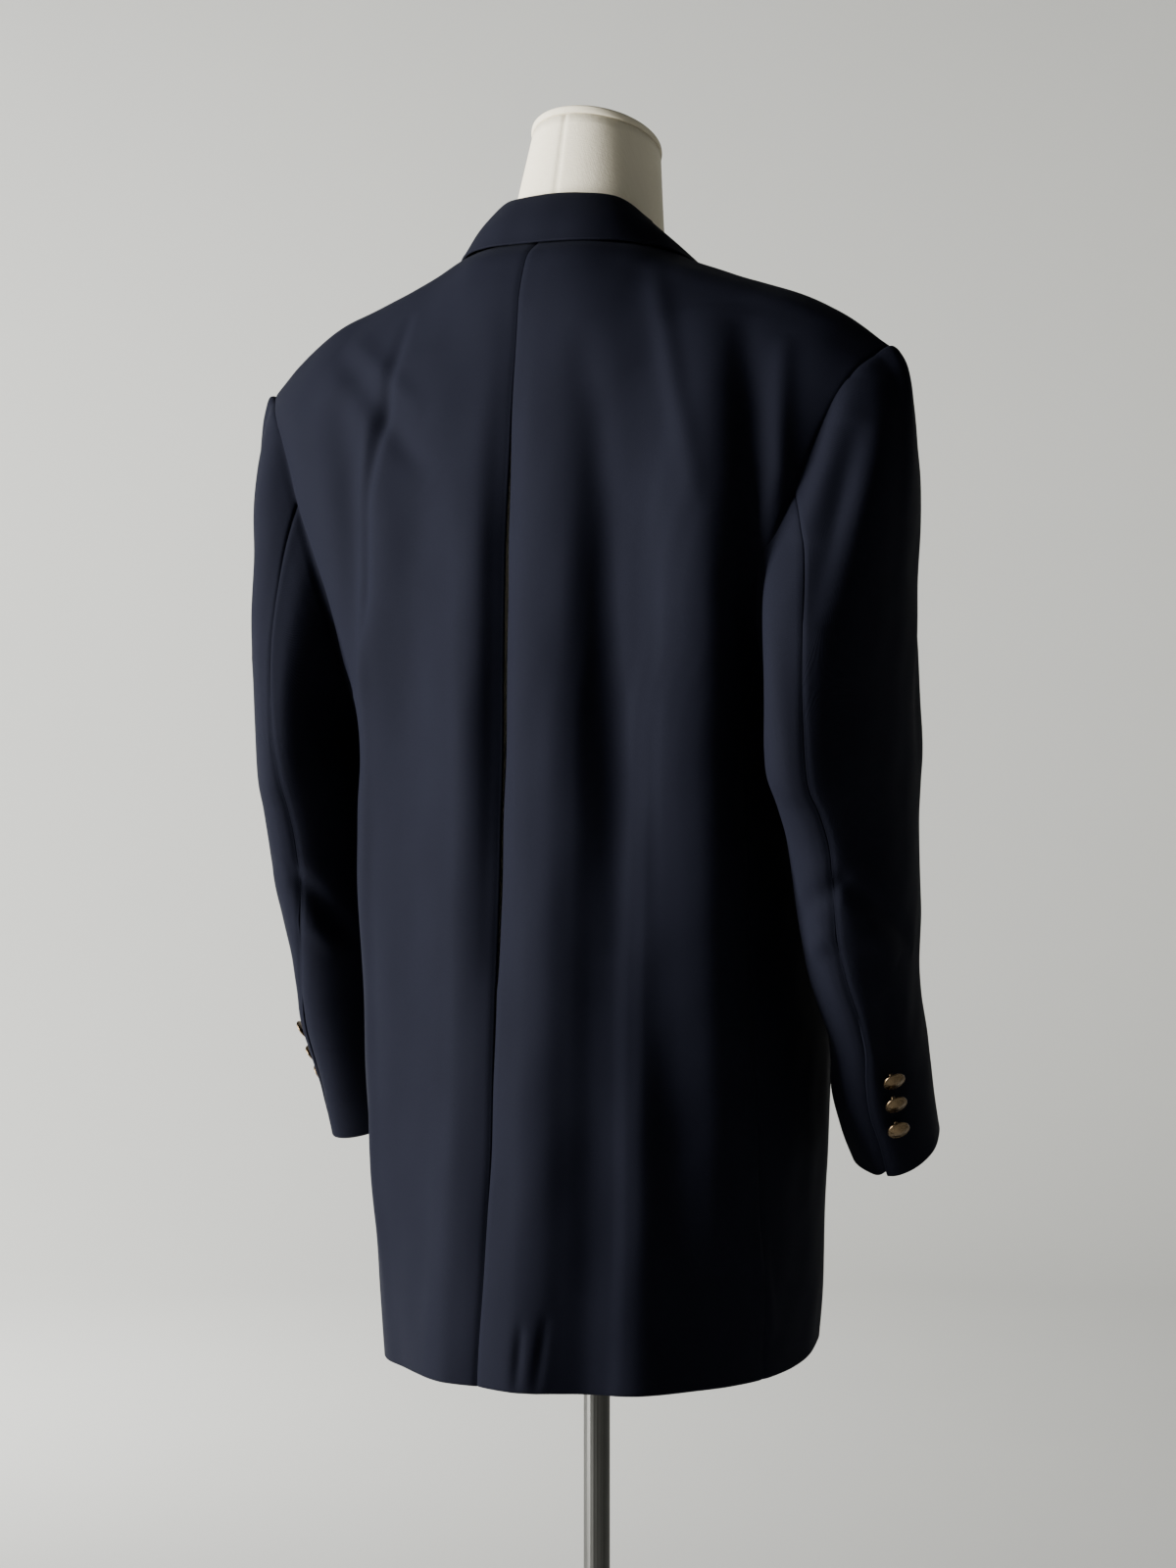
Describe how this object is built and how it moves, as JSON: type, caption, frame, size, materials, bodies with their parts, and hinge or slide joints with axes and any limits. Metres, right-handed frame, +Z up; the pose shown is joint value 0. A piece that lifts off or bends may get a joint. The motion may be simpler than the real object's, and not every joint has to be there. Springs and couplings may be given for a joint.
{
  "type": "blazer on a limbless dress form and stand",
  "caption": "Single-breasted tailored blazer with metal shank buttons, worn by a limbless dress form on a round-footed steel pole stand.",
  "frame": {"origin": "middle of the stand foot's underside, on the floor", "axes": "+Z up the pole; the garment's front faces -Y and its back +Y; +X is the wearer's left"},
  "size_m": [0.5291, 0.3303, 1.5893],
  "materials": {
    "body_cloth": "fine navy worsted wool",
    "sleeve_cloth": "fine navy worsted wool",
    "collar_cloth": "fine navy worsted wool",
    "button_metal": "aged gold-brown metal, satin",
    "form_linen": "cream linen cover",
    "neck_cap_cloth": "cream linen cover",
    "stand_steel": "brushed grey steel"
  },
  "bodies": {
    "root": {"back_left": "body_cloth", "side_left": "body_cloth", "front_left": "body_cloth", "lapel_left": "collar_cloth", "sleeve_upper_left": "sleeve_cloth", "sleeve_under_left": "sleeve_cloth", "cuff_button_left_1": "button_metal", "cuff_button_left_2": "button_metal", "cuff_button_left_3": "button_metal", "back_right": "body_cloth", "side_right": "body_cloth", "front_right": "body_cloth", "lapel_right": "collar_cloth", "sleeve_upper_right": "sleeve_cloth", "sleeve_under_right": "sleeve_cloth", "cuff_button_right_1": "button_metal", "cuff_button_right_2": "button_metal", "cuff_button_right_3": "button_metal", "collar": "collar_cloth", "front_button_1": "button_metal", "front_button_2": "button_metal", "form_torso": "form_linen", "form_neck_cap": "neck_cap_cloth", "stand_pole": "stand_steel", "stand_foot": "stand_steel"}
  },
  "joints": []
}
